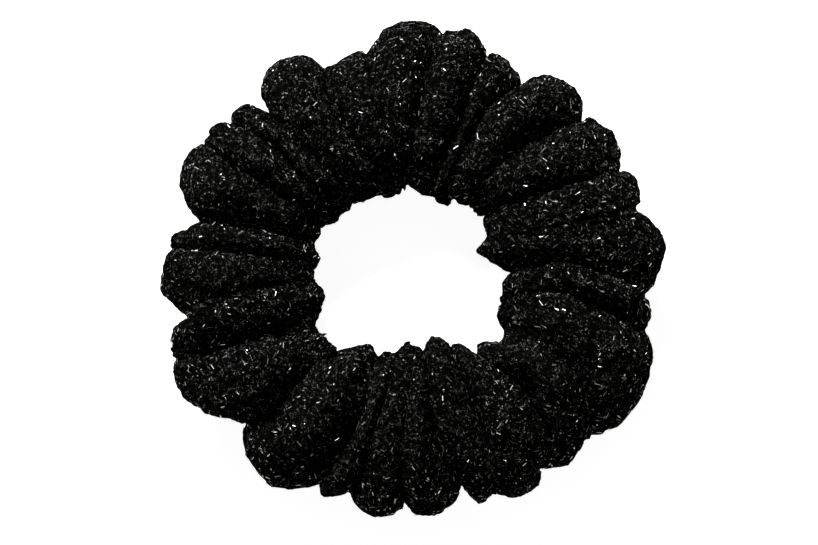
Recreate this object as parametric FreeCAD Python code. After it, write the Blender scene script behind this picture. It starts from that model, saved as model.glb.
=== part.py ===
"""A scrunchie: a gathered fabric sleeve round a loop of flat braided elastic, lying flat.

The ring's axis is +Z, +Y is twelve o'clock, and the origin is on the resting plane at the ring's centre.
The one sleeve and the one elastic of the real object stretch. Rigid solids can't, so both are divided into
twelve lengths, named by the clock, that slide apart along X as two hands pull the loop open. The twelve
o'clock length is in two halves, left and right, because the sleeve's ends and the elastic's ends are sewn
together there, and the two halves never move apart. All sizes are in millimetres.
"""

import FreeCAD
import Part

import math
import os

Vector = FreeCAD.Vector

# The ring, measured over the gathers.
rim_diameter = 111.0
hole_diameter = 39.0
gathered_height = 30.0

# The sleeve: how deep its creases are on each side, its wall, and how much of it the table presses flat.
crease_depth_at_rim = 3.6
crease_depth_at_hole = 2.6
crease_depth_on_top = 2.2
fabric_wall = 1.5
pressed_flat = 0.6
folds_per_length = 2
fold_stations = (-1.0, -0.9, -0.6, 0.0, 0.6, 0.9, 1.0)

# The lengths that the loop is divided into.
lengths_in_ring = 12
gap_between_lengths = 0.3

# The sleeve's long seam: its two turned-in plies stand up inside the tube, with the thread through them.
seam_allowance_depth = 5.0
seam_allowance_thickness = 2.4
seam_from_tube_centre = 4.0
seam_thread_diameter = 0.5

# The flat elastic: a braided cover on square rubber strands.
elastic_width = 7.0
elastic_thickness = 1.4
room_for_gathers = 2.8
strand_count = 5
strand_side = 0.6
strand_pitch = 1.3
strand_clearance = 0.03

# The lap of the elastic's two ends, in shares of the half length on each side, and the zigzag through it.
lap_share = 0.6
ramp_share = 0.22
ramp_end_share = 0.06
lap_clearance = 0.15
bartack_thread_diameter = 0.4
bartack_stitches = 9
bartack_share_of_lap = 0.75
bartack_height_in_pitches = 3

# The stitches that close the sleeve at twelve o'clock.
closing_stitch_count = 26
closing_stitch_length = 3.2
closing_stitch_slant_share = 0.5
closing_thread_diameter = 0.5
closing_thread_sunk = 0.125
thread_clearance = 0.1

# What follows from them.
ridge_half_height = (gathered_height + pressed_flat) / 2
tube_centre_z = gathered_height - ridge_half_height
crease_rim_radius = rim_diameter / 2 - crease_depth_at_rim
crease_hole_radius = hole_diameter / 2 + crease_depth_at_hole
crease_half_height = ridge_half_height - crease_depth_on_top
crease_centre_radius = (crease_rim_radius + crease_hole_radius) / 2
cavity_half_width = (crease_rim_radius - crease_hole_radius) / 2 - fabric_wall
cavity_half_height = crease_half_height - fabric_wall
cavity_floor_z = tube_centre_z - cavity_half_height
length_angle = 360.0 / lengths_in_ring
gap_angle = math.degrees(gap_between_lengths / (hole_diameter / 2))
seam_radius = crease_centre_radius - seam_from_tube_centre
seam_thread_z = cavity_floor_z + seam_allowance_depth / 2
elastic_reach = math.sqrt(1 - (elastic_width / 2 / cavity_half_height) ** 2)
elastic_inner_radius = (
    crease_centre_radius - cavity_half_width * elastic_reach + room_for_gathers
)
strand_inset = (elastic_thickness - strand_side) / 2
lap_step = elastic_thickness + lap_clearance
lap_half_angle = lap_share * length_angle / 2
ramp_angle = ramp_share * length_angle / 2
ramp_end_angle = ramp_end_share * length_angle / 2
seam_angle = 90.0

# How each length's solids are named, with the angles where it starts and ends, counted from +X.
clock_lengths = []
for hour in range(1, lengths_in_ring):
    middle = seam_angle - hour * length_angle
    clock_lengths.append((f"{hour:02d}", middle - length_angle / 2, middle + length_angle / 2))
clock_lengths.append(("12_right", seam_angle - length_angle / 2, seam_angle))
clock_lengths.append(("12_left", seam_angle, seam_angle + length_angle / 2))


def on_ring(radius, angle, z=0.0):
    """The point at a radius and an angle in degrees."""
    turn = math.radians(angle)
    return Vector(radius * math.cos(turn), radius * math.sin(turn), z)


def turned(shape, angle):
    """The shape, turned about the ring's axis."""
    shape.rotate(Vector(0, 0, 0), Vector(0, 0, 1), angle)
    return shape


def ellipse_wire(rim_radius, hole_radius, half_height, angle):
    """An upright elliptical section of the tube, from the hole to the rim."""
    centre = Vector((rim_radius + hole_radius) / 2, 0, tube_centre_z)
    half_width = (rim_radius - hole_radius) / 2
    across, up = Vector(half_width, 0, 0), Vector(0, 0, half_height)
    if half_width < half_height:
        across, up = up, across
    curve = Part.Ellipse(centre + across, centre + up, centre)
    return turned(Part.Wire(curve.toShape()), angle)


def revolved(wire, start, end):
    """The solid that a section at angle 0 sweeps from one angle to another."""
    face = Part.Face(wire)
    swept = face.revolve(Vector(0, 0, 0), Vector(0, 0, 1), end - start)
    return turned(swept, start)


def rectangle(low_radius, high_radius, low_z, high_z):
    """An upright rectangle at angle 0."""
    corners = [
        Vector(low_radius, 0, low_z),
        Vector(high_radius, 0, low_z),
        Vector(high_radius, 0, high_z),
        Vector(low_radius, 0, high_z),
    ]
    return Part.makePolygon(corners + corners[:1])


def circle(radius, height, thread_radius):
    """A thread's round section at angle 0."""
    edge = Part.makeCircle(thread_radius, Vector(radius, 0, height), Vector(0, 1, 0))
    return Part.Wire(edge)


# The sleeve.


def fold(start, end):
    """One puffed fold of fabric between two creases, solid."""
    sections = []
    for share in fold_stations:
        puff = math.sqrt(1 - share * share)
        angle = (start + end) / 2 + share * (end - start) / 2
        sections.append(
            ellipse_wire(
                crease_rim_radius + crease_depth_at_rim * puff,
                crease_hole_radius - crease_depth_at_hole * puff,
                crease_half_height + crease_depth_on_top * puff,
                angle,
            )
        )
    return Part.makeLoft(sections, True, True)


def seam_thread(start, end, clearance=0.0):
    """The long seam's thread along one length."""
    radius = seam_thread_diameter / 2 + clearance
    return revolved(circle(seam_radius, seam_thread_z, radius), start, end)


def seam_allowance(start, end):
    """The two plies of the long seam, standing on the inside of the tube's underside."""
    half = seam_allowance_thickness / 2
    section = rectangle(
        seam_radius - half,
        seam_radius + half,
        cavity_floor_z - fabric_wall / 2,
        cavity_floor_z + seam_allowance_depth,
    )
    return revolved(section, start, end)


def sleeve(start, end, fold_count):
    """One length of the sleeve: gathered folds, hollow inside, flat where it rests."""
    step = (end - start) / fold_count
    folds = [fold(start + n * step, start + (n + 1) * step) for n in range(fold_count)]
    solid = folds[0].fuse(folds[1:]) if len(folds) > 1 else folds[0]
    cavity = ellipse_wire(
        crease_centre_radius + cavity_half_width,
        crease_centre_radius - cavity_half_width,
        cavity_half_height,
        0,
    )
    solid = solid.cut(revolved(cavity, start - gap_angle, end + gap_angle))
    solid = solid.fuse(seam_allowance(start, end))
    solid = solid.cut(seam_thread(start - gap_angle, end + gap_angle))
    below = Part.makeBox(
        2 * rim_diameter,
        2 * rim_diameter,
        gathered_height,
        Vector(-rim_diameter, -rim_diameter, -gathered_height),
    )
    return solid.cut(below)


# The elastic.


def plan_edges(stations, offset):
    """Arcs and ramps in plan, through (angle, radius) stations, at an offset from each radius."""
    edges = []
    for (a0, r0), (a1, r1) in zip(stations, stations[1:]):
        ends = on_ring(r0 + offset, a0), on_ring(r1 + offset, a1)
        if r0 == r1:
            middle = on_ring(r0 + offset, (a0 + a1) / 2)
            edges.append(Part.Arc(ends[0], middle, ends[1]).toShape())
        else:
            edges.append(Part.makeLine(*ends))
    return edges


def band(stations, inset, thickness, low_z, high_z):
    """An upright band whose inner face follows the stations in plan."""
    inner = plan_edges(stations, inset)
    outer = plan_edges(stations, inset + thickness)
    first, last = stations[0], stations[-1]
    caps = [
        Part.makeLine(
            on_ring(radius + inset, angle),
            on_ring(radius + inset + thickness, angle),
        )
        for angle, radius in (first, last)
    ]
    wire = Part.Wire(Part.__sortEdges__(inner + outer + caps))
    face = Part.Face(wire)
    face.translate(Vector(0, 0, low_z))
    return face.extrude(Vector(0, 0, high_z - low_z))


def strands(stations, clearance=0.0):
    """The rubber strands inside one length of the braid, one solid each."""
    made = []
    for n in range(strand_count):
        z = tube_centre_z + (n - (strand_count - 1) / 2) * strand_pitch
        half = strand_side / 2 + clearance
        made.append(
            band(stations, strand_inset - clearance, 2 * half, z - half, z + half)
        )
    return made


def braid(stations):
    """One length of the elastic's braided cover, with room for its strands."""
    low = tube_centre_z - elastic_width / 2
    solid = band(stations, 0.0, elastic_thickness, low, low + elastic_width)
    return solid.cut(strands(stations, strand_clearance))


def elastic_stations(name, start, end):
    """The route of one length of elastic in plan. The ends at twelve o'clock lap."""
    inner = elastic_inner_radius
    if name == "12_left":
        return [(seam_angle - lap_half_angle, inner), (end, inner)]
    if name == "12_right":
        tip = seam_angle + lap_half_angle
        top = seam_angle - lap_half_angle - ramp_end_angle
        foot = top - ramp_angle
        return [(start, inner), (foot, inner), (top, inner + lap_step), (tip, inner + lap_step)]
    return [(start, inner), (end, inner)]


# The threads at twelve o'clock.


def rod(first, second, diameter):
    """A straight stretch of thread."""
    along = second - first
    return Part.makeCylinder(diameter / 2, along.Length, first, along)


def square_rod(first, second, side):
    """A square bar, longer by half its side at each end: the room that a stretch of thread needs."""
    along = second - first
    length = along.Length + side
    bar = Part.makeBox(side, side, length, Vector(-side / 2, -side / 2, -side / 2))
    bar.Placement = FreeCAD.Placement(first, FreeCAD.Rotation(Vector(0, 0, 1), along))
    return bar


def bartack(diameter, make_rod):
    """The zigzag that sews the lapped ends: legs through both plies, joined on both faces."""
    proud = bartack_thread_diameter / 2
    inside = elastic_inner_radius - proud - thread_clearance
    outside = elastic_inner_radius + lap_step + elastic_thickness + proud
    rise = bartack_height_in_pitches * strand_pitch / 2
    spread = 2 * bartack_share_of_lap * lap_half_angle
    legs = []
    for n in range(bartack_stitches):
        angle = seam_angle + spread * (n / (bartack_stitches - 1) - 0.5)
        z = tube_centre_z + (rise if n % 2 else -rise)
        legs.append((on_ring(inside, angle, z), on_ring(outside, angle, z)))
    pieces = [make_rod(a, b, diameter) for a, b in legs]
    for n, ((a0, b0), (a1, b1)) in enumerate(zip(legs, legs[1:])):
        pieces.append(make_rod(b0, b1, diameter) if n % 2 else make_rod(a0, a1, diameter))
    return pieces[0].fuse(pieces[1:])


def closing_stitches(diameter, make_rod):
    """Slanting stitches over the butted ends of the sleeve, one solid each."""
    stitches = []
    half_width = (crease_rim_radius - crease_hole_radius) / 2 - closing_thread_sunk
    half_height = crease_half_height - closing_thread_sunk
    slant = closing_stitch_slant_share * 360.0 / closing_stitch_count
    for n in range(closing_stitch_count):
        ends = []
        for side in (-1, 1):
            turn = math.radians(360.0 * n / closing_stitch_count + side * slant / 2)
            radius = crease_centre_radius + half_width * math.cos(turn)
            z = tube_centre_z + half_height * math.sin(turn)
            foot = on_ring(radius, seam_angle, z)
            ends.append(foot - Vector(side * closing_stitch_length / 2, 0, 0))
        stitches.append(make_rod(ends[0], ends[1], diameter))
    return stitches


def save(name, shape):
    """Writes one node's solids as STEP, and says its volume."""
    solids = shape.Solids if hasattr(shape, "Solids") else shape
    solids = [s if s.Volume > 0 else s.reversed() for s in solids]
    made = solids[0] if len(solids) == 1 else Part.makeCompound(solids)
    made.exportStep(os.path.join("parts", name + ".step"))
    print(f"{name}: {len(solids)} solid(s), {made.Volume:.2f} mm3, valid {made.isValid()}")


def main():
    os.makedirs("parts", exist_ok=True)
    stitch_grooves = closing_stitches(closing_thread_diameter + 2 * thread_clearance, square_rod)
    bartack_holes = bartack(bartack_thread_diameter + 2 * thread_clearance, square_rod)
    for name, begins, ends in clock_lengths:
        start, end = begins + gap_angle / 2, ends - gap_angle / 2
        at_seam = name.startswith("12")
        fabric = sleeve(start, end, 1 if at_seam else folds_per_length)
        route = elastic_stations(name, start, end)
        cover = braid(route)
        if at_seam:
            fabric = fabric.cut(stitch_grooves)
            cover = cover.cut(bartack_holes)
        save(f"sleeve_{name}", fabric)
        save(f"elastic_braid_{name}", cover)
        save(f"rubber_strands_{name}", Part.makeCompound(strands(route)))
        save(f"seam_thread_{name}", seam_thread(start, end))
    save("elastic_bartack_thread", bartack(bartack_thread_diameter, rod))
    save("closing_seam_stitches", Part.makeCompound(closing_stitches(closing_thread_diameter, rod)))


if __name__ == "__main__":
    main()
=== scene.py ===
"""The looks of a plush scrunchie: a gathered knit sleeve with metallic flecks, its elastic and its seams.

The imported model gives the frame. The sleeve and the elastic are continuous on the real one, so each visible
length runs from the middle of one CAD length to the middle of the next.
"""

import logging
import math
from dataclasses import dataclass, field
from enum import Enum

import bmesh
import bpy
import numpy as np
from mathutils import Euler, Matrix, Vector

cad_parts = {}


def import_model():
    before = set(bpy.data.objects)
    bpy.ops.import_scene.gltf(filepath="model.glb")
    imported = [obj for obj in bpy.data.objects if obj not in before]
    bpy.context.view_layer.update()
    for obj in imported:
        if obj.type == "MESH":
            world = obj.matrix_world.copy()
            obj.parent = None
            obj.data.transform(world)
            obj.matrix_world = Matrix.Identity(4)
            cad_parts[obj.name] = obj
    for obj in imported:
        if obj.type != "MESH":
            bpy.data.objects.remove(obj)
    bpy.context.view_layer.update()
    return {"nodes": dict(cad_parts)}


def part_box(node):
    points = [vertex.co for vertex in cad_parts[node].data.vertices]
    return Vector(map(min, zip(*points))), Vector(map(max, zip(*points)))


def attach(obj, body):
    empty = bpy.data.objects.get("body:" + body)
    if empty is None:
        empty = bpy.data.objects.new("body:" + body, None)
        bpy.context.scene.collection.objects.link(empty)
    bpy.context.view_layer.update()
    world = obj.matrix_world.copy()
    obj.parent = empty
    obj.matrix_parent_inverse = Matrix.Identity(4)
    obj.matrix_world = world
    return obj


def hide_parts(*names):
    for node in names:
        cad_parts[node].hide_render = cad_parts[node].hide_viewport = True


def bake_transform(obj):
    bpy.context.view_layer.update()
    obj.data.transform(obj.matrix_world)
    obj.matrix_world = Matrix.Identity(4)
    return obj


LOG = logging.getLogger("scrunchie")
MM = 0.001
RING_RADIUS_MM = 37.0
ELASTIC_THICKNESS_MM = 1.4
Layers = tuple[tuple[float, float, float], ...]


def linear(hex_colour: str) -> tuple[float, float, float, float]:
    """Turns an sRGB hex colour to linear.

    Args:
        hex_colour: six hex digits after a hash.

    Returns:
        Red, green, blue and an alpha of one.
    """
    parts = [int(hex_colour[i : i + 2], 16) / 255 for i in (1, 3, 5)]
    red, green, blue = (c / 12.92 if c <= 0.04045 else ((c + 0.055) / 1.055) ** 2.4 for c in parts)
    return red, green, blue, 1.0


def add_node(
    tree: bpy.types.NodeTree, kind: str, settings: dict | None = None, **links: object
) -> bpy.types.Node:
    """Adds a node with its settings and its links.

    Args:
        tree: the material's node tree.
        kind: the node's type.
        settings: the node's own properties.
        **links: input name to a value or to an output socket. An underscore stands for a space, and a name
            that ends in a number after a double underscore is an input's index.

    Returns:
        The new node.
    """
    node = tree.nodes.new(kind)
    for key, value in (settings or {}).items():
        setattr(node, key, value)
    for key, value in links.items():
        name = int(key.split("__")[1]) if "__" in key else key.replace("_", " ")
        socket = node.inputs[name]
        if isinstance(value, bpy.types.NodeSocket):
            tree.links.new(value, socket)
        else:
            socket.default_value = value
    return node


def set_ramp(node: bpy.types.Node, stops: list[tuple[float, str]]) -> None:
    """Gives a colour ramp its stops.

    Args:
        node: the colour ramp.
        stops: each stop's place and hex colour, in order.
    """
    ramp = node.color_ramp
    while len(ramp.elements) < len(stops):
        ramp.elements.new(1.0)
    for element, (position, colour) in zip(ramp.elements, stops):
        element.position = position
        element.color = linear(colour)


@dataclass(frozen=True)
class PlushKnit:
    """Warp-knitted polyester plush, piece-dyed black and sheared.

    The pile swallows light, so the cloth is nearly black where it faces the eye and greyer where the
    pile is seen from its side. The tips of the tufts catch the light as a fine grain: here that light is
    painted into the colour, as pale highlights on the high points of a noise height, with painted shade in the
    hollows between them, and the cloth has no specular of its own. A single fibre, about 0.02 mm thick, is too
    fine to show, so the grain is drawn as coarse as a small bunch of them.
    """

    name: str = "black_plush_knit_polyester"
    root_shade_colour: str = "#020202"
    pile_colour: str = "#040404"
    tip_highlight_colour: str = "#96958b"
    grain_mm: float = 0.26
    tuft_mm: float = 1.3
    grain_share: float = 0.75
    bump_mm: float = 0.25
    roughness: float = 0.9

    def make(self) -> bpy.types.Material:
        """Makes the plush's material.

        Returns:
            The material.
        """
        material = bpy.data.materials.new(self.name)
        material.use_nodes = True
        tree = material.node_tree
        shader = tree.nodes["Principled BSDF"]
        where = add_node(tree, "ShaderNodeTexCoord").outputs["Object"]
        noise, maths = "ShaderNodeTexNoise", "ShaderNodeMath"
        grain_scale, tuft_scale = 1 / (self.grain_mm * MM), 1 / (self.tuft_mm * MM)
        grain = add_node(tree, noise, Vector=where, Scale=grain_scale, Detail=2.0, Roughness=0.6)
        tuft = add_node(tree, noise, Vector=where, Scale=tuft_scale, Detail=2.0, Roughness=0.5)
        added = add_node(
            tree, maths, {"operation": "MULTIPLY"}, __0=tuft.outputs["Fac"], __1=1 - self.grain_share
        ).outputs[0]
        both = add_node(
            tree,
            maths,
            {"operation": "MULTIPLY_ADD"},
            __0=grain.outputs["Fac"],
            __1=self.grain_share,
            __2=added,
        )
        # painted light: the ramp runs over the pile's noise height, the same one the bump uses, so its lowest
        # stop is painted shade in the hollows between tufts and its top stop is a painted highlight on their
        # tips
        ramp = add_node(tree, "ShaderNodeValToRGB", Fac=both.outputs[0])
        set_ramp(ramp, [(0.52, self.root_shade_colour), (0.61, self.pile_colour), (0.74, self.tip_highlight_colour)])
        depth = self.bump_mm * MM
        bump = add_node(tree, "ShaderNodeBump", Strength=0.8, Distance=depth, Height=both.outputs[0])
        tree.links.new(ramp.outputs["Color"], shader.inputs["Base Color"])
        tree.links.new(bump.outputs["Normal"], shader.inputs["Normal"])
        shader.inputs["Roughness"].default_value = self.roughness
        # no specular: the glints on the tufts' tips are painted into the base colour instead
        shader.inputs["Specular IOR Level"].default_value = 0.0
        return material


@dataclass(frozen=True)
class MetallisedFilm:
    """Slit polyester film, vacuum metallised: each fleck is a tiny flat mirror with a slightly dull face.

    The film is twisted with the black yarn, so some flecks show their bare metal and others are half hidden
    by fibres. Each fleck's own glint attribute, from 0 to 1, and a wear noise say how bright it shows. That
    brightness is painted into the metal's colour: partly how much the fibres hide each fleck, and partly a
    painted glint that stands in for how brightly each fleck mirrors the light.
    """

    name: str = "silver_metallised_polyester_film"
    hidden_unlit_colour: str = "#1c1c1b"
    half_glint_colour: str = "#80807c"
    bare_glint_colour: str = "#e9e8e2"
    warm_glint_colour: str = "#f3ead2"
    wear_and_glint_mm: float = 0.5
    roughness: float = 0.42
    glint: str = "glint"

    def make(self) -> bpy.types.Material:
        """Makes the film's material.

        Returns:
            The material.
        """
        material = bpy.data.materials.new(self.name)
        material.use_nodes = True
        tree = material.node_tree
        shader = tree.nodes["Principled BSDF"]
        where = add_node(tree, "ShaderNodeTexCoord").outputs["Object"]
        glint = add_node(tree, "ShaderNodeAttribute", {"attribute_name": self.glint}).outputs["Fac"]
        wear_and_glint = add_node(tree, "ShaderNodeTexNoise", Vector=where, Scale=1 / (self.wear_and_glint_mm * MM), Detail=1.0)
        shown = add_node(
            tree, "ShaderNodeMath", {"operation": "MULTIPLY_ADD"}, __0=wear_and_glint.outputs["Fac"], __1=0.5, __2=-0.25
        )
        total = add_node(tree, "ShaderNodeMath", {"operation": "ADD"}, __0=glint, __1=shown.outputs[0])
        # painted glint: the ramp makes each fleck's metal darker or brighter from its glint and wear; partly
        # the fibres hiding it, partly a painted reflection of the light
        ramp = add_node(tree, "ShaderNodeValToRGB", Fac=total.outputs[0])
        hidden, half = (0.1, self.hidden_unlit_colour), (0.5, self.half_glint_colour)
        set_ramp(ramp, [hidden, half, (0.85, self.bare_glint_colour), (1.0, self.warm_glint_colour)])
        tree.links.new(ramp.outputs["Color"], shader.inputs["Base Color"])
        shader.inputs["Metallic"].default_value = 1.0
        shader.inputs["Roughness"].default_value = self.roughness
        return material


@dataclass(frozen=True)
class BraidedPolyester:
    """Textured polyester yarn, braided and dyed black: a soft sheen along each plait."""

    name: str = "black_braided_polyester_yarn"
    dark: str = "#0b0b0c"
    light: str = "#232325"
    yarn_mm: float = 0.25

    def make(self) -> bpy.types.Material:
        """Makes the yarn's material.

        Returns:
            The material.
        """
        material = bpy.data.materials.new(self.name)
        material.use_nodes = True
        tree = material.node_tree
        shader = tree.nodes["Principled BSDF"]
        where = add_node(tree, "ShaderNodeTexCoord").outputs["Object"]
        fibre = add_node(tree, "ShaderNodeTexNoise", Vector=where, Scale=1 / (self.yarn_mm * MM), Detail=2.0)
        ramp = add_node(tree, "ShaderNodeValToRGB", Fac=fibre.outputs["Fac"])
        set_ramp(ramp, [(0.38, self.dark), (0.62, self.light)])
        bump = add_node(tree, "ShaderNodeBump", Strength=0.7, Distance=0.05 * MM, Height=fibre.outputs["Fac"])
        tree.links.new(ramp.outputs["Color"], shader.inputs["Base Color"])
        tree.links.new(bump.outputs["Normal"], shader.inputs["Normal"])
        shader.inputs["Roughness"].default_value = 0.75
        return material


@dataclass(frozen=True)
class SpunThread(BraidedPolyester):
    """Spun polyester sewing thread, dyed black: duller and hairier than the braid."""

    name: str = "black_spun_polyester_thread"
    dark: str = "#060606"
    light: str = "#1c1c1e"
    yarn_mm: float = 0.15


@dataclass(frozen=True)
class NaturalRubber:
    """Extruded natural rubber, cut square and dusted with talc, which leaves it matt and blotched."""

    name: str = "talc_dusted_natural_rubber"
    dark: str = "#8f8268"
    light: str = "#cfc6b2"
    talc_mm: float = 0.8

    def make(self) -> bpy.types.Material:
        """Makes the rubber's material.

        Returns:
            The material.
        """
        material = bpy.data.materials.new(self.name)
        material.use_nodes = True
        tree = material.node_tree
        shader = tree.nodes["Principled BSDF"]
        where = add_node(tree, "ShaderNodeTexCoord").outputs["Object"]
        talc = add_node(tree, "ShaderNodeTexNoise", Vector=where, Scale=1 / (self.talc_mm * MM), Detail=3.0)
        ramp = add_node(tree, "ShaderNodeValToRGB", Fac=talc.outputs["Fac"])
        set_ramp(ramp, [(0.4, self.dark), (0.6, self.light)])
        bump = add_node(tree, "ShaderNodeBump", Strength=0.4, Distance=0.02 * MM, Height=talc.outputs["Fac"])
        tree.links.new(ramp.outputs["Color"], shader.inputs["Base Color"])
        tree.links.new(bump.outputs["Normal"], shader.inputs["Normal"])
        shader.inputs["Roughness"].default_value = 0.7
        shader.inputs["IOR"].default_value = 1.52
        return material


class Side(Enum):
    """Which half of the ring a chain of lengths runs round."""

    RIGHT = ("06", "05", "04", "03", "02", "01", "12_right")
    LEFT = ("06", "07", "08", "09", "10", "11", "12_left")


@dataclass(frozen=True)
class Stretch:
    """One visible length: the two CAD lengths that it joins, and the angles that it starts and ends at."""

    first: str
    second: str
    start: float
    end: float

    @property
    def name(self) -> str:
        """The two lengths' clock names."""
        return f"{self.first}_{self.second}"

    @property
    def sense(self) -> int:
        """One if the second length lies anticlockwise of the first, and minus one if clockwise."""
        return 1 if self.second in Side.RIGHT.value else -1

    @property
    def middle(self) -> float:
        """The angle of the joint between the two CAD lengths, in degrees."""
        return (self.start + self.end) / 2


def stretches() -> list[Stretch]:
    """Lists the visible lengths, up each side of the ring from six o'clock.

    Returns:
        The twelve lengths.
    """
    found = []
    for side, turn in ((Side.RIGHT, 1), (Side.LEFT, -1)):
        for n, (first, second) in enumerate(zip(side.value, side.value[1:])):
            ends = sorted((-90 + turn * 30 * n, -90 + turn * 30 * (n + 1)))
            found.append(Stretch(first, second, ends[0] % 360, ends[0] % 360 + 30))
    return found


def read_points(mesh: bpy.types.Mesh) -> np.ndarray:
    """Reads a mesh's points.

    Args:
        mesh: the mesh.

    Returns:
        The points, one row each.
    """
    flat = np.empty(len(mesh.vertices) * 3)
    mesh.vertices.foreach_get("co", flat)
    return flat.reshape(-1, 3)


def place(name: str, data: bpy.types.Mesh) -> bpy.types.Object:
    """Puts a mesh in the scene.

    Args:
        name: the new object's name.
        data: its mesh.

    Returns:
        The object.
    """
    piece = bpy.data.objects.new(name, data)
    bpy.context.collection.objects.link(piece)
    return piece


def round_tube(turn: np.ndarray, rim: np.ndarray, top: np.ndarray, hole: np.ndarray) -> np.ndarray:
    """Blends values at the rim, the top and the hole round the tube.

    Args:
        turn: angles round the tube, in radians, from the rim over the top to the hole.
        rim: values at the rim.
        top: values at the top.
        hole: values at the hole.

    Returns:
        The blended values. The underside's lie between the rim's and the hole's.
    """
    out, up = np.cos(turn), np.sin(turn)
    at_rim, at_hole = np.clip(out, 0, 1) ** 2, np.clip(-out, 0, 1) ** 2
    at_top, under = np.clip(up, 0, 1) ** 2, np.clip(-up, 0, 1) ** 2
    return rim * at_rim + hole * at_hole + top * at_top + (rim + hole) / 2 * under


def join(piece: bpy.types.Object, part: Stretch, stands_for: str = "") -> None:
    """Bakes a piece's transform, and hides the CAD nodes that it replaces.

    Args:
        piece: the piece, when its mesh is final.
        part: the length that it is.
        stands_for: the start of the names of the two CAD nodes that it replaces.
    """
    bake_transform(piece)
    if stands_for:
        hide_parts(f"{stands_for}_{part.first}", f"{stands_for}_{part.second}")


@dataclass(frozen=True)
class Fold:
    """A crease and the fold that follows it anticlockwise. Angles are in degrees and lengths in mm.

    hole, top and rim are the crease's angles as it passes the hole, the top and the rim. deep_ is how far
    it sinks there. lean carries the following fold back over the crease, or the one before forward if it
    is negative. reach, inner and rise are the following crest's distance from the axis at the rim and at
    the hole, and its height over the others.
    """

    hole: float
    top: float
    rim: float
    deep_hole: float
    deep_top: float
    deep_rim: float
    lean: float
    reach: float
    inner: float
    rise: float = 0.0


FOLDS = (
    Fold(355.5, 358.5, 352.0, 6.5, 7.2, 3.0, -1.8, 56.6, 13.8, 0.3),
    Fold(15.0, 14.0, 13.0, 0.3, 1.2, 5.0, 0.0, 53.7, 18.4, 0.2),
    Fold(30.0, 25.0, 22.5, 2.2, 8.4, 3.6, -1.8, 53.0, 17.6, -0.6),
    Fold(41.0, 46.5, 40.5, 2.6, 8.4, 4.6, -1.4, 53.8, 16.2, 0.4),
    Fold(60.0, 63.5, 58.5, 1.2, 8.8, 4.6, -1.6, 50.4, 14.6, -2.0),
    Fold(71.0, 71.5, 70.5, 0.6, 5.4, 4.2, -0.4, 56.0, 17.2, 0.6),
    Fold(92.0, 84.0, 81.5, 2.4, 8.4, 3.0, -2.2, 56.4, 18.4, 0.0),
    Fold(100.0, 105.5, 103.0, 1.0, 5.8, 4.2, 1.0, 52.0, 17.0, 0.0),
    Fold(112.0, 117.5, 115.0, 1.0, 7.0, 3.4, 0.8, 57.0, 19.6, 0.3),
    Fold(134.0, 134.0, 135.0, 1.2, 4.0, 9.0, 0.6, 53.6, 19.9, 0.2),
    Fold(141.0, 140.5, 144.0, 0.5, 4.2, 3.4, 0.8, 54.8, 20.4, 0.1),
    Fold(156.0, 152.5, 151.5, 2.4, 6.8, 2.6, 1.6, 57.8, 22.2, 0.4),
    Fold(168.0, 167.0, 169.5, 2.6, 5.2, 8.2, 0.4, 55.8, 20.0, -0.4),
    Fold(178.0, 176.8, 176.0, 2.0, 7.6, 3.0, 2.0, 56.8, 22.8, 0.5),
    Fold(190.0, 189.0, 191.5, 1.4, 2.4, 6.4, 0.2, 58.0, 21.0, 0.0),
    Fold(211.0, 205.5, 202.0, 4.4, 8.0, 2.0, 0.8, 58.8, 24.6, 0.0),
    Fold(227.0, 230.0, 223.0, 4.2, 11.0, 6.4, 2.0, 56.8, 17.0, 0.5),
    Fold(244.0, 248.0, 245.5, 2.4, 10.4, 4.0, 0.6, 53.8, 17.0, 0.0),
    Fold(256.0, 255.0, 254.0, 0.8, 8.6, 3.4, 1.4, 54.8, 14.4, 0.3),
    Fold(263.0, 262.5, 267.0, 0.4, 5.2, 3.8, -1.6, 54.4, 14.6, 0.4),
    Fold(275.0, 275.5, 281.5, 2.6, 11.4, 6.2, 0.4, 53.0, 12.9, 0.2),
    Fold(297.0, 292.0, 289.0, 2.4, 10.8, 3.0, 0.8, 55.0, 16.2, 0.3),
    Fold(305.0, 312.0, 302.0, 5.6, 8.4, 3.0, -1.6, 55.0, 18.4, 0.0),
    Fold(323.0, 330.0, 318.0, 6.0, 5.0, 2.4, 0.0, 59.4, 19.6, 0.2),
    Fold(341.0, 348.5, 344.0, 2.2, 8.4, 3.6, -2.0, 57.0, 21.2, 0.0),
)


@dataclass
class Noise:
    """Smooth seeded noise on a cubic lattice that repeats."""

    seed: int
    size: int = 64
    values: np.ndarray = field(init=False)

    def __post_init__(self) -> None:
        """Draws the lattice's values."""
        self.values = np.random.default_rng(self.seed).uniform(-1, 1, (self.size,) * 3)

    def at(self, points: np.ndarray) -> np.ndarray:
        """Works out the noise at some points.

        Args:
            points: the points, whose unit is one lattice step.

        Returns:
            A value from -1 to 1 for each point.
        """
        cell = np.floor(points).astype(int)
        part = points - cell
        part = part * part * (3 - 2 * part)
        total = np.zeros(len(points))
        for corner in np.ndindex(2, 2, 2):
            index = (cell + corner) % self.size
            weight = np.prod(np.where(corner, part, 1 - part), axis=1)
            total += weight * self.values[index[:, 0], index[:, 1], index[:, 2]]
        return total

    def layers(self, points: np.ndarray, layers: Layers) -> np.ndarray:
        """Adds up layers of the noise.

        Args:
            points: the points, in mm.
            layers: each layer's height and size in mm, and its shift in lattice steps.

        Returns:
            A height in mm for each point.
        """
        return sum(height * self.at(points / size + shift) for height, size, shift in layers)


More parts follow.
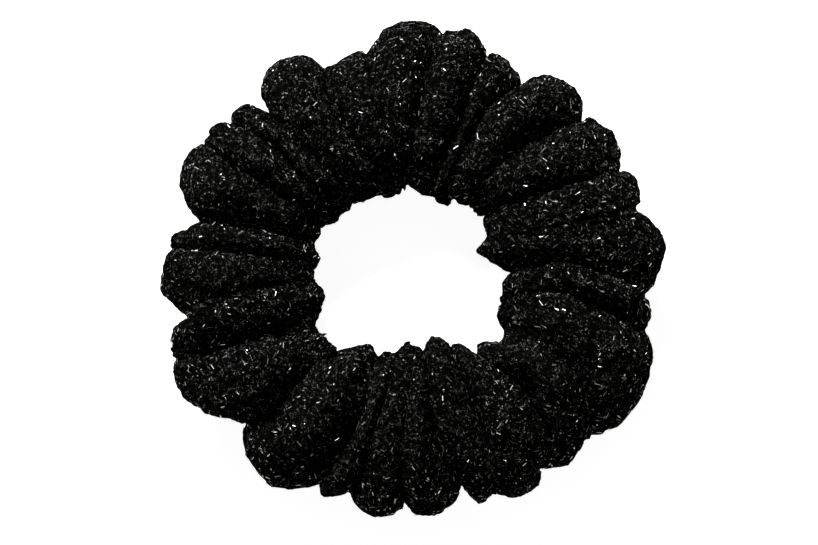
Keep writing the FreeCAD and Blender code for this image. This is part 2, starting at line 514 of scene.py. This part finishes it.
@dataclass
class Sleeve:
    """The gathered knit sleeve: one tube of cloth, cut into twelve lengths when it is done."""

    steps_round_ring: int = 324
    steps_round_tube: int = 72
    centre_height: float = 14.7
    half_height: float = 14.4
    crease_width: float = 8.5
    shrunk: float = 0.9
    thickness: float = 1.1
    solver_scale: float = 20.0
    solver_frames: int = 14
    pressure: float = 0.6
    fullness: float = 0.10
    furthest: float = 2.2
    elastic_room: float = 0.25
    packed_radius: float = 24.0
    relax_passes: int = 2
    table_gap: float = 0.02
    dents: Layers = ((0.9, 9.0, 0.0), (0.8, 4.2, 17.0))
    tufts: Layers = ((0.18, 0.95, 0.0), (0.16, 0.55, 31.0), (0.34, 2.3, 11.0))
    seed: int = 20

    def __post_init__(self) -> None:
        """Shares the steps round the ring among the folds, by width."""
        tops = np.array([f.top for f in FOLDS])
        shares = (np.roll(tops, -1) - tops) % 360 + 6.0
        edges = np.round(np.cumsum(shares) / shares.sum() * self.steps_round_ring).astype(int)
        self.fold_start = np.concatenate([[0], edges])
        self.big = Noise(self.seed)
        self.small = Noise(self.seed + 1)

    def crease_angle(self, turn: np.ndarray, index: np.ndarray) -> np.ndarray:
        """Finds the angle of each point's crease.

        Args:
            turn: angles round the tube, in radians.
            index: the creases' numbers, which run on past the last fold.

        Returns:
            The creases' angles round the ring, in radians.
        """
        tops = np.unwrap([math.radians(f.top) for f in FOLDS])
        hole = tops + np.radians([(f.hole - f.top + 180) % 360 - 180 for f in FOLDS])
        rim = tops + np.radians([(f.rim - f.top + 180) % 360 - 180 for f in FOLDS])
        laps, index = np.divmod(index, len(FOLDS))
        return round_tube(turn, rim[index], tops[index], hole[index]) + laps * 2 * math.pi

    def crease_depth(self, turn: np.ndarray, index: np.ndarray) -> np.ndarray:
        """Finds how deep each point's crease is.

        Args:
            turn: angles round the tube, in radians.
            index: the creases' numbers.

        Returns:
            The depths, in mm.
        """
        sides = ("rim", "top", "hole")
        deep = {side: np.array([getattr(f, f"deep_{side}") for f in FOLDS]) for side in sides}
        index = index % len(FOLDS)
        return round_tube(turn, deep["rim"][index], deep["top"][index], deep["hole"][index])

    def crests(self, name: str, along: np.ndarray) -> np.ndarray:
        """Eases a value of the folds' crests from one crest to the next.

        Args:
            name: the fold's field.
            along: places round the ring, counted in folds.

        Returns:
            The value at each place.
        """
        values = np.array([getattr(f, name) for f in FOLDS])
        before = np.floor(along - 0.5).astype(int)
        part = along - 0.5 - before
        part = part * part * (3 - 2 * part)
        count = len(FOLDS)
        return values[before % count] * (1 - part) + values[(before + 1) % count] * part

    def points(self, step: np.ndarray, turn: np.ndarray) -> np.ndarray:
        """Works out where the gathered cloth lies before it is inflated.

        Args:
            step: whole steps round the ring.
            turn: angles round the tube, in radians, from the rim over the top to the hole.

        Returns:
            The points, in mm.
        """
        index = np.searchsorted(self.fold_start, step, side="right") - 1
        part = (step - self.fold_start[index]) / np.diff(self.fold_start)[index]
        part = 0.55 * part + 0.45 * (1 - np.cos(math.pi * part)) / 2
        start = self.crease_angle(turn, index)
        end = self.crease_angle(turn, index + 1)
        angle = start + part * (end - start)
        along = index + part
        reach = self.crests("reach", along) - self.shrunk
        inner = self.crests("inner", along) + self.shrunk
        middle, half = (reach + inner) / 2, (reach - inner) / 2
        plan = middle + half * np.cos(turn)
        span = (end - start) * plan
        sunk, lean = np.zeros(len(part)), np.zeros(len(part))
        leans = np.array([f.lean for f in FOLDS])
        for gap, crease, sign in ((part * span, index, 1), ((1 - part) * span, index + 1, -1)):
            over = leans[crease % len(FOLDS)]
            width = np.minimum(self.crease_width, 0.5 * span) * np.where(over * sign > 0, 0.8, 1.2)
            x = np.clip(gap / width, 0, 1)
            rounded = 1 - np.sqrt(np.clip(1 - (1 - x) ** 2, 0, 1))
            sunk += self.crease_depth(turn, crease) * (0.5 * rounded + 0.5 * (1 - x) ** 2)
            lean -= np.where(over * sign > 0, over, 0) * np.sin(math.pi * np.sqrt(x)) ** 2
        angle = angle + lean * np.clip(np.sin(turn) + 0.4, 0, 1) / plan
        radius = middle + (half - sunk) * np.cos(turn)
        height = self.centre_height + (self.half_height + self.crests("rise", along) - sunk) * np.sin(turn)
        made = np.stack([radius * np.cos(angle), radius * np.sin(angle), height], axis=1)
        outward = np.stack([np.cos(turn) * np.cos(angle), np.cos(turn) * np.sin(angle), np.sin(turn)], axis=1)
        return made + outward * self.big.layers(made, self.dents)[:, None]

    def gather(self) -> bpy.types.Object:
        """Makes the whole gathered tube, as a closed ring of coarse cloth.

        Returns:
            The tube.
        """
        mesh = bmesh.new()
        across, round_it = self.steps_round_ring, self.steps_round_tube
        bmesh.ops.create_grid(mesh, x_segments=across, y_segments=round_it, size=0.5)
        data = bpy.data.meshes.new("gathered_tube")
        mesh.to_mesh(data)
        places = read_points(data) + 0.5
        step = np.round(places[:, 0] * across).astype(int) % across
        turn = (np.round(places[:, 1] * round_it) % round_it - round_it / 4) * 2 * math.pi / round_it
        data.vertices.foreach_set("co", (self.points(step, turn) * MM).ravel())
        mesh.clear()
        mesh.from_mesh(data)
        bmesh.ops.remove_doubles(mesh, verts=mesh.verts, dist=1e-7)
        bmesh.ops.recalc_face_normals(mesh, faces=mesh.faces)
        mesh.to_mesh(data)
        mesh.free()
        return place("gathered_tube", data)

    def crumple(self, tube: bpy.types.Object) -> np.ndarray:
        """Lets the cloth puff out and crumple by simulation, at a larger scale, where the solver is steady.

        Args:
            tube: the whole tube, which is left as it was.

        Returns:
            How far each point moved, in metres.
        """
        rest = read_points(tube.data)
        tube.data.vertices.foreach_set("co", (rest * self.solver_scale).ravel())
        cloth = tube.modifiers.new("cloth", "CLOTH")
        knit = cloth.settings
        knit.quality = 6
        knit.mass = 0.3
        knit.tension_stiffness = knit.compression_stiffness = 15
        knit.shear_stiffness = 5
        knit.bending_stiffness = 0.5
        knit.air_damping = 5
        knit.use_pressure = True
        knit.uniform_pressure_force = self.pressure
        knit.shrink_min = -self.fullness
        knit.effector_weights.gravity = 0
        touch = cloth.collision_settings
        touch.use_collision = False
        touch.use_self_collision = True
        touch.self_distance_min = 0.012
        scene = bpy.context.scene
        for frame_number in range(1, self.solver_frames + 1):
            scene.frame_set(frame_number)
        shown = tube.evaluated_get(bpy.context.evaluated_depsgraph_get())
        moved = read_points(shown.to_mesh()) / self.solver_scale - rest
        tube.modifiers.remove(cloth)
        scene.frame_set(1)
        tube.data.vertices.foreach_set("co", rest.ravel())
        return moved

    def inflate(self, tube: bpy.types.Object) -> None:
        """Moves the cloth to where the simulation takes it, but no point further than the limit.

        Args:
            tube: the whole tube, which changes in place.
        """
        rest, moved = read_points(tube.data), self.crumple(tube)
        far = np.linalg.norm(moved, axis=1)
        limit = self.furthest * MM
        keep = np.tanh(far / limit) * limit / np.maximum(far, 1e-9)
        LOG.info("cloth moved %.1f mm on average, %.1f mm at most", far.mean() / MM, far.max() / MM)
        tube.data.vertices.foreach_set("co", (rest + moved * keep[:, None]).ravel())

    def relax(self, tube: bpy.types.Object) -> None:
        """Smooths the cloth's kinks round the hole, where the gathers are packed tight.

        Args:
            tube: the whole tube, which changes in place.
        """
        mesh = bmesh.new()
        mesh.from_mesh(tube.data)
        packed = [vert for vert in mesh.verts if vert.co.xy.length < self.packed_radius * MM]
        for _ in range(self.relax_passes):
            bmesh.ops.smooth_vert(
                mesh, verts=packed, factor=0.5, use_axis_x=True, use_axis_y=True, use_axis_z=True
            )
        mesh.to_mesh(tube.data)
        mesh.free()

    def settle(self, points: np.ndarray) -> np.ndarray:
        """Flattens the cloth softly where it lies on the table.

        Args:
            points: the cloth's points in mm, which change in place.

        Returns:
            The same points.
        """
        soft, lift = 1.2, 0.15
        z = points[:, 2] - lift
        points[:, 2] = 0.05 + 0.5 * (z + np.sqrt(z * z + soft * soft))
        return points

    def clear_elastic(self, points: np.ndarray) -> np.ndarray:
        """Keeps the cloth outside the elastic, which it is gathered on.

        Args:
            points: the cloth's points in mm, which change in place.

        Returns:
            The same points.
        """
        low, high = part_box("elastic_braid_03")
        room = self.thickness + self.elastic_room
        inner = high[0] / MM - ELASTIC_THICKNESS_MM - room
        outer = high[0] / MM + room
        half = (high[2] - low[2]) / 2 / MM + room
        radius = np.hypot(points[:, 0], points[:, 1])
        away, up = RING_RADIUS_MM - radius, points[:, 2] - self.centre_height
        beside = (away > 0) & (np.abs(up) * (RING_RADIUS_MM - outer) < away * half)
        across = (RING_RADIUS_MM - inner) / np.maximum(away, 0.1)
        grown = np.maximum(np.minimum(across, half / np.maximum(np.abs(up), 0.1)), 1.0)
        grown = np.where(beside, grown, 1.0)
        points[:, :2] *= ((RING_RADIUS_MM - away * grown) / radius)[:, None]
        points[:, 2] = self.centre_height + up * grown
        return points

    def tuft(self, tube: bpy.types.Object) -> bpy.types.Mesh:
        """Subdivides the cloth and raises the pile's tufts on it.

        Args:
            tube: the whole tube, coarse.

        Returns:
            The whole tube, fine.
        """
        finer = tube.modifiers.new("finer", "SUBSURF")
        finer.levels = finer.render_levels = 2
        fine = bpy.data.meshes.new_from_object(tube.evaluated_get(bpy.context.evaluated_depsgraph_get()))
        points = self.settle(self.clear_elastic(read_points(fine) / MM))
        fine.vertices.foreach_set("co", (points * MM).ravel())
        fine.update()
        normals = np.empty(len(fine.vertices) * 3)
        fine.vertices.foreach_get("normal", normals)
        points = points + normals.reshape(-1, 3) * self.small.layers(points, self.tufts)[:, None]
        points[:, 2] = np.maximum(points[:, 2], self.table_gap)
        fine.vertices.foreach_set("co", (points * MM).ravel())
        bpy.data.objects.remove(tube)
        return fine

    def cut(self, fine: bpy.types.Mesh, part: Stretch) -> bpy.types.Object:
        """Cuts one length from the whole tube, at the middles of its two CAD lengths.

        Args:
            fine: the whole tube, fine.
            part: the length to keep.

        Returns:
            The length's piece, as a single face of cloth.
        """
        mesh = bmesh.new()
        mesh.from_mesh(fine)
        for angle, keep in ((part.start, 1), (part.end, -1)):
            way = math.radians(angle)
            across = Vector((-math.sin(way), math.cos(way), 0)) * keep
            everything = mesh.verts[:] + mesh.edges[:] + mesh.faces[:]
            bmesh.ops.bisect_plane(
                mesh, geom=everything, dist=1e-7, plane_co=(0, 0, 0), plane_no=across, clear_inner=True
            )
        data = bpy.data.meshes.new(f"sleeve_{part.name}")
        mesh.to_mesh(data)
        mesh.free()
        data.shade_smooth()
        return place(data.name, data)

    def build(self) -> dict[Stretch, bpy.types.Object]:
        """Gathers, inflates and cuts the sleeve.

        Returns:
            Each length's piece.
        """
        tube = self.gather()
        self.inflate(tube)
        self.relax(tube)
        fine = self.tuft(tube)
        return {part: self.cut(fine, part) for part in stretches()}

    def dress(self, piece: bpy.types.Object, part: Stretch, knit: bpy.types.Material) -> None:
        """Gives a length its cloth and thickness, bakes its transform and hides the two CAD sleeve lengths that
        it replaces.

        Args:
            piece: the length's piece.
            part: which length it is.
            knit: the plush.
        """
        piece.data.materials.append(knit)
        wall = piece.modifiers.new("cloth_thickness", "SOLIDIFY")
        wall.thickness = self.thickness * MM
        wall.offset = -1.0
        join(piece, part, "sleeve")


@dataclass
class MetallicYarn:
    """The short ends of metallic yarn that show through the pile, in every direction."""

    per_square_mm: float = 0.34
    shortest: float = 0.2
    longest: float = 1.6
    width: float = 0.105
    depth: float = 0.04
    lowest: float = 1.2
    length_skew: tuple[float, float] = (0.5, 1.5)
    width_spread: tuple[float, float] = (0.7, 1.2)
    tilts: tuple[float, float] = (0.4, 0.25)
    lift: tuple[float, float] = (-0.02, 0.14)
    glint_skew: tuple[float, float] = (0.9, 1.2)
    seed: int = 7

    def build(self, piece: bpy.types.Object, part: Stretch, number: int) -> bpy.types.Object:
        """Scatters the flecks over one length of the sleeve.

        Args:
            piece: the length of sleeve.
            part: where it is.
            number: its place in the order, which seeds the scatter.

        Returns:
            The flecks, as one piece.
        """
        data = piece.data
        count = len(data.polygons)
        areas, centres, normals = np.empty(count), np.empty(count * 3), np.empty(count * 3)
        data.polygons.foreach_get("area", areas)
        data.polygons.foreach_get("center", centres)
        data.polygons.foreach_get("normal", normals)
        centres, normals = centres.reshape(-1, 3), normals.reshape(-1, 3)
        draw = np.random.default_rng(self.seed + number)
        clear = areas * (centres[:, 2] > self.lowest * MM)
        chosen = draw.choice(count, int(clear.sum() / MM**2 * self.per_square_mm), p=clear / clear.sum())
        mesh = bmesh.new()
        glint = mesh.verts.layers.float.new(MetallisedFilm.glint)
        for index in chosen:
            length = self.shortest + (self.longest - self.shortest) * draw.beta(*self.length_skew)
            width = self.width * draw.uniform(*self.width_spread)
            size = Matrix.Diagonal((length * MM, width * MM, self.depth * MM, 1.0))
            spun = Matrix.Rotation(draw.uniform(0, 2 * math.pi), 4, "Z")
            roll, pitch = (draw.normal(0, spread) for spread in self.tilts)
            tilt = Euler((roll, pitch, 0)).to_matrix().to_4x4()
            lean = Vector(normals[index]).to_track_quat("Z", "Y").to_matrix().to_4x4()
            raised = Vector(normals[index]) * draw.uniform(*self.lift) * MM
            where = Matrix.Translation(Vector(centres[index]) + raised)
            # painted glint: each fleck gets a random brightness, partly how much the fibres hide it and partly
            # a painted reflection of the light
            shown = draw.beta(*self.glint_skew)
            placed = where @ lean @ spun @ tilt @ size
            for vert in bmesh.ops.create_cube(mesh, size=1.0, matrix=placed)["verts"]:
                vert[glint] = shown
        made = bpy.data.meshes.new(f"metallic_yarn_{part.name}")
        mesh.to_mesh(made)
        mesh.free()
        return place(made.name, made)

    def dress(self, piece: bpy.types.Object, part: Stretch, film: bpy.types.Material) -> None:
        """Gives one length's flecks their metal and bakes their transform."""
        piece.data.materials.append(film)
        join(piece, part)


@dataclass
class Elastic:
    """The flat elastic inside: a braided cover, the rubber strands in it, and the lap at twelve o'clock."""

    width: float = 7.0
    thickness: float = ELASTIC_THICKNESS_MM
    cover_wall: float = 0.3
    strands: int = 5
    strand_side: float = 0.6
    strand_pitch: float = 1.3
    lap_step: float = 1.55
    lap_degrees: float = 9.0
    ramp_degrees: float = 3.3
    ramp_end_degrees: float = 0.9
    braid_radius: float = 27.0
    braid_pitch: float = 1.1
    braid_height: float = 0.07
    cover_points: int = 48
    cover_steps: int = 60
    cover_square: float = 6.0
    strand_points: int = 12
    strand_steps: int = 24
    strand_square: float = 5.0

    def radius(self, part: Stretch, angle: np.ndarray) -> np.ndarray:
        """Finds the elastic's inner radius, with the step up onto the other end at the lap.

        Args:
            part: which length it is.
            angle: angles round the ring, in degrees.

        Returns:
            The radii, in mm.
        """
        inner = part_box("elastic_braid_03")[1][0] / MM - self.thickness
        if part.second != "12_right":
            return np.full(len(angle), inner)
        top = 90.0 - self.lap_degrees - self.ramp_end_degrees
        rise = np.clip((angle - top + self.ramp_degrees) / self.ramp_degrees, 0, 1)
        return inner + self.lap_step * rise * rise * (3 - 2 * rise)

    def ends(self, part: Stretch) -> tuple[float, float]:
        """Finds where a length of elastic starts and ends, which is past twelve o'clock at the lap.

        Args:
            part: which length it is.

        Returns:
            The two angles, in degrees.
        """
        start, end = part.start, part.end
        if part.second == "12_right":
            end += self.lap_degrees
        if part.second == "12_left":
            start -= self.lap_degrees
        return start, end

    def sweep(
        self, name: str, part: Stretch, outlines: list[list[tuple[float, float]]], steps: int, closed: bool
    ) -> bpy.types.Object:
        """Sweeps outlines along the elastic's route.

        Args:
            name: the new piece's name.
            part: which length it is.
            outlines: closed outlines of (outwards, up) points in mm, from the inner face and the middle.
            steps: how many steps the sweep has.
            closed: whether the ends are filled in.

        Returns:
            The new piece.
        """
        start, end = self.ends(part)
        mesh = bmesh.new()
        for outline in outlines:
            verts = [mesh.verts.new((out, 0.0, up)) for out, up in outline]
            for one, two in zip(verts, verts[1:] + verts[:1]):
                mesh.edges.new((one, two))
        far = 100.0
        bmesh.ops.translate(mesh, verts=mesh.verts, vec=(far, 0, 0))
        bmesh.ops.spin(mesh, geom=mesh.verts[:] + mesh.edges[:], cent=(0, 0, 0), axis=(0, 0, 1),
                       angle=math.radians(end - start), steps=steps, use_merge=False)
        if closed:
            bmesh.ops.holes_fill(mesh, edges=[e for e in mesh.edges if e.is_boundary], sides=0)
        bmesh.ops.recalc_face_normals(mesh, faces=mesh.faces)
        data = bpy.data.meshes.new(name)
        mesh.to_mesh(data)
        mesh.free()
        points = read_points(data)
        angle = np.degrees(np.arctan2(points[:, 1], points[:, 0])) + start
        out = np.hypot(points[:, 0], points[:, 1]) - far
        low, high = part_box("elastic_braid_03")
        out, up = self.braided(angle, out, points[:, 2]) if not closed else (out, points[:, 2])
        radius = self.radius(part, angle) + out
        middle = (low[2] + high[2]) / 2 / MM
        turn = np.radians(angle)
        placed = np.stack([radius * np.cos(turn), radius * np.sin(turn), up + middle], axis=1)
        data.vertices.foreach_set("co", (placed * MM).ravel())
        data.shade_smooth()
        return place(name, data)

    def braided(self, angle: np.ndarray, out: np.ndarray, up: np.ndarray) -> tuple[np.ndarray, np.ndarray]:
        """Raises the cover's crossing yarns.

        Args:
            angle: the points' angles round the ring, in degrees.
            out: how far outwards they are, in mm.
            up: how far up they are, in mm.

        Returns:
            The new distances outwards and up.
        """
        along = np.radians(angle) * self.braid_radius
        across = 2 * math.pi / self.braid_pitch
        plait = np.sin(across * (along + up)) * np.sin(across * (along - up))
        face = np.where(out > self.thickness / 2, 1.0, -1.0)
        return out + face * self.braid_height * plait, up

    def rounded(self, width: float, height: float, count: int, power: float) -> list[tuple[float, float]]:
        """Makes an outline with rounded corners, centred half its width outwards.

        Args:
            width: its size outwards, in mm.
            height: its size upwards, in mm.
            count: how many points it has.
            power: how square it is: 2 is an ellipse, and more is squarer.

        Returns:
            The outline's (outwards, up) points, in mm.
        """
        made = []
        for n in range(count):
            turn = 2 * math.pi * n / count
            c, s = math.cos(turn), math.sin(turn)
            scale = (abs(c) ** power + abs(s) ** power) ** (-1 / power)
            made.append((width / 2 * (1 + c * scale), height / 2 * s * scale))
        return made

    def build(self, part: Stretch) -> tuple[bpy.types.Object, bpy.types.Object]:
        """Makes one length of the elastic.

        Args:
            part: which length it is.

        Returns:
            The braided cover and the rubber strands.
        """
        outline = self.rounded(self.thickness, self.width, self.cover_points, self.cover_square)
        cover = self.sweep(f"elastic_braid_{part.name}", part, [outline], self.cover_steps, False)
        inset = (self.thickness - self.strand_side) / 2
        rows = []
        for n in range(self.strands):
            up = (n - (self.strands - 1) / 2) * self.strand_pitch
            square = self.rounded(self.strand_side, self.strand_side, self.strand_points, self.strand_square)
            rows.append([(x + inset, z + up) for x, z in square])
        rubber = self.sweep(f"rubber_strands_{part.name}", part, rows, self.strand_steps, True)
        return cover, rubber

    def dress(self, cover: bpy.types.Object, rubber: bpy.types.Object, part: Stretch,
              yarn: bpy.types.Material, latex: bpy.types.Material) -> None:
        """Gives both their materials, bakes their transforms, and hides the CAD braid and strands that they
        replace.

        Args:
            cover: the braided cover.
            rubber: the rubber strands.
            part: which length they are.
            yarn: the cover's material.
            latex: the strands' material.
        """
        wall = cover.modifiers.new("braid_wall", "SOLIDIFY")
        wall.thickness = self.cover_wall * MM
        wall.offset = -1.0
        cover.data.materials.append(yarn)
        rubber.data.materials.append(latex)
        join(cover, part, "elastic_braid")
        join(rubber, part, "rubber_strands")


@dataclass
class Seams:
    """The long seam's two turned-in plies and its thread, and the stitches that close the sleeve."""

    radius: float = 33.0
    floor: float = 3.1
    allowance: float = 5.0
    ply: float = 1.1
    gap: float = 0.05
    stitch: float = 2.5
    thread: float = 0.34
    closing_count: int = 26
    closing_length: float = 3.0
    closing_sunk: float = 1.35

    def build(self, part: Stretch) -> tuple[bpy.types.Object, bpy.types.Object]:
        """Makes one length of the seam.

        Args:
            part: which length it is.

        Returns:
            The two plies, and the thread that weaves through them.
        """
        mesh = bmesh.new()
        for low in (-self.ply - self.gap, self.gap):
            high = low + self.ply
            corners = [(low, 0.0), (high, 0.0), (high, self.allowance), (low, self.allowance)]
            verts = [mesh.verts.new((self.radius + x, 0.0, self.floor + z)) for x, z in corners]
            for one, two in zip(verts, verts[1:] + verts[:1]):
                mesh.edges.new((one, two))
        self.spin(mesh, part, 30)
        plies = self.finish(mesh, f"seam_plies_{part.name}")
        thread = bmesh.new()
        made = bmesh.ops.create_circle(thread, segments=8, radius=self.thread / 2)
        middle = Matrix.Translation((self.radius, 0, self.floor + self.allowance / 2))
        upright = middle @ Matrix.Rotation(math.pi / 2, 4, "X")
        bmesh.ops.transform(thread, matrix=upright, verts=made["verts"])
        self.spin(thread, part, 90)
        piece = self.finish(thread, f"seam_thread_{part.name}")
        points = read_points(piece.data)
        along = np.arctan2(points[:, 1], points[:, 0]) * self.radius * MM
        reach = (self.ply + self.gap + self.thread / 2) * MM
        wave = np.clip(3 * np.sin(math.pi * along / (self.stitch * MM)), -1, 1) * reach
        out = 1 + wave / np.hypot(points[:, 0], points[:, 1])
        points[:, :2] *= out[:, None]
        piece.data.vertices.foreach_set("co", points.ravel())
        return plies, piece

    def spin(self, mesh: bmesh.types.BMesh, part: Stretch, steps: int) -> None:
        """Spins an outline at angle zero along one length, and fills in its ends.

        Args:
            mesh: the outline, which becomes the shape.
            part: which length it is.
            steps: how many steps the spin has.
        """
        to_start = Matrix.Rotation(math.radians(part.start), 3, "Z")
        bmesh.ops.rotate(mesh, verts=mesh.verts, cent=(0, 0, 0), matrix=to_start)
        bmesh.ops.spin(mesh, geom=mesh.verts[:] + mesh.edges[:], cent=(0, 0, 0), axis=(0, 0, 1),
                       angle=math.radians(part.end - part.start), steps=steps, use_merge=False)
        bmesh.ops.holes_fill(mesh, edges=[e for e in mesh.edges if e.is_boundary], sides=0)
        bmesh.ops.recalc_face_normals(mesh, faces=mesh.faces)

    def finish(self, mesh: bmesh.types.BMesh, name: str) -> bpy.types.Object:
        """Turns a mesh in mm into a piece.

        Args:
            mesh: the mesh, which is used up.
            name: the new piece's name.

        Returns:
            The piece.
        """
        bmesh.ops.scale(mesh, verts=mesh.verts, vec=(MM, MM, MM))
        data = bpy.data.meshes.new(name)
        mesh.to_mesh(data)
        mesh.free()
        return place(name, data)

    def close(self, beside: bpy.types.Object) -> bpy.types.Object:
        """Sews the sleeve's two ends together, on the cloth's inner face at twelve o'clock.

        Args:
            beside: the length of sleeve that ends there.

        Returns:
            The stitches.
        """
        points = read_points(beside.data) / MM
        normals = np.empty(len(points) * 3)
        beside.data.vertices.foreach_get("normal", normals)
        normals = normals.reshape(-1, 3)
        at_seam = np.nonzero(np.abs(points[:, 0]) < 0.35)[0]
        centre = points[at_seam][:, 1:].mean(axis=0)
        turns = np.arctan2(points[at_seam, 2] - centre[1], points[at_seam, 1] - centre[0])
        mesh = bmesh.new()
        for n in range(self.closing_count):
            turn = 2 * math.pi * n / self.closing_count - math.pi
            near = at_seam[np.argmin(np.abs(turns - turn))]
            middle = Vector(points[near] - normals[near] * self.closing_sunk)
            along = Vector((1.0, 0.35 * math.sin(turn), -0.35 * math.cos(turn))).normalized()
            size = Matrix.Diagonal((self.thread / 2, self.thread / 2, self.closing_length / 2, 1.0))
            turned = along.to_track_quat("Z", "Y").to_matrix().to_4x4()
            bmesh.ops.create_uvsphere(mesh, u_segments=8, v_segments=6, radius=1.0,
                                      matrix=Matrix.Translation(middle) @ turned @ size)
        return self.finish(mesh, "closing_stitches")

    def dress(self, plies: bpy.types.Object, thread: bpy.types.Object, part: Stretch,
              knit: bpy.types.Material, yarn: bpy.types.Material) -> None:
        """Gives the plies and the thread their materials, bakes their transforms, and hides the CAD seam thread
        that the thread replaces.

        Args:
            plies: the seam's two plies.
            thread: the seam's thread.
            part: which length they are.
            knit: the plush.
            yarn: the thread's material.
        """
        plies.data.materials.append(knit)
        thread.data.materials.append(yarn)
        thread.data.shade_smooth()
        join(plies, part)
        join(thread, part, "seam_thread")


@dataclass
class Studio:
    """A pale table, a broad soft light over the twelve o'clock side, and the camera straight above."""

    distance: float = 0.9
    frame_width: float = 0.1818
    middle_height: float = 0.015
    sensor_mm: float = 36.0
    aim_x: float = -0.0011
    aim_y: float = -0.001
    floor_glow: float = 0.92
    ambient: float = 0.2
    key_size: float = 0.6
    key_power: float = 100.0
    key_place: tuple[float, float, float] = (-0.4, 1.28, 1.0)

    def build(self) -> None:
        """Makes the floor, the lights and the camera."""
        mesh = bmesh.new()
        bmesh.ops.create_grid(mesh, x_segments=1, y_segments=1, size=3.0)
        data = bpy.data.meshes.new("floor")
        mesh.to_mesh(data)
        mesh.free()
        floor = place("floor", data)
        material = bpy.data.materials.new("white_table")
        material.use_nodes = True
        shader = material.node_tree.nodes["Principled BSDF"]
        shader.inputs["Base Color"].default_value = linear("#bcbcbc")
        shader.inputs["Roughness"].default_value = 0.8
        shader.inputs["Emission Color"].default_value = (1, 1, 1, 1)
        shader.inputs["Emission Strength"].default_value = self.floor_glow
        data.materials.append(material)
        self.light("key", self.key_size, self.key_power, self.key_place)
        world = bpy.data.worlds.new("studio")
        world.use_nodes = True
        world.node_tree.nodes["Background"].inputs["Color"].default_value = (1, 1, 1, 1)
        world.node_tree.nodes["Background"].inputs["Strength"].default_value = self.ambient
        bpy.context.scene.world = world
        bpy.context.scene.view_settings.view_transform = "Standard"
        camera = bpy.data.cameras.new("camera")
        camera.sensor_width = self.sensor_mm
        camera.lens = self.sensor_mm * (self.distance - self.middle_height) / self.frame_width
        eye = bpy.data.objects.new("camera", camera)
        eye.location = (self.aim_x, self.aim_y, self.distance)
        bpy.context.collection.objects.link(eye)
        bpy.context.scene.camera = eye

    def light(self, name: str, size: float, power: float, where: tuple[float, float, float]) -> None:
        """Adds a square soft light that faces the ring.

        Args:
            name: the light's name.
            size: the length of its side, in metres.
            power: its power, in watts.
            where: its place, in metres.
        """
        lamp = bpy.data.lights.new(name, "AREA")
        lamp.size = size
        lamp.energy = power
        lamp_object = bpy.data.objects.new(name, lamp)
        lamp_object.location = where
        lamp_object.rotation_euler = Vector(where).to_track_quat("Z", "Y").to_euler()
        bpy.context.collection.objects.link(lamp_object)


def main() -> None:
    """Builds and dresses every piece, in order, and attaches the closing stitches to a body."""
    logging.basicConfig(level=logging.INFO, format="%(message)s")
    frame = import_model()
    knit, film = PlushKnit().make(), MetallisedFilm().make()
    yarn, thread, latex = BraidedPolyester().make(), SpunThread().make(), NaturalRubber().make()
    Studio().build()
    sleeve, flecks, elastic, seams = Sleeve(), MetallicYarn(), Elastic(), Seams()
    lengths = sleeve.build()
    for number, (part, piece) in enumerate(lengths.items()):
        metal = flecks.build(piece, part, number)
        if part.second == "12_left":
            stitches = seams.close(piece)
            stitches.data.materials.append(thread)
            stitches.data.shade_smooth()
            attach(stitches, "length_12_left")
            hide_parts("closing_seam_stitches")
        sleeve.dress(piece, part, knit)
        flecks.dress(metal, part, film)
        cover, rubber = elastic.build(part)
        elastic.dress(cover, rubber, part, yarn, latex)
        plies, seam = seams.build(part)
        seams.dress(plies, seam, part, knit, thread)
        faces = len(piece.data.polygons), len(metal.data.polygons)
        LOG.info("%s: %d faces of cloth, %d of metallic yarn", piece.name, *faces)
    bartack = frame["nodes"]["elastic_bartack_thread"]
    bartack.data.materials.clear()
    bartack.data.materials.append(thread)


if __name__ == "__main__":
    main()
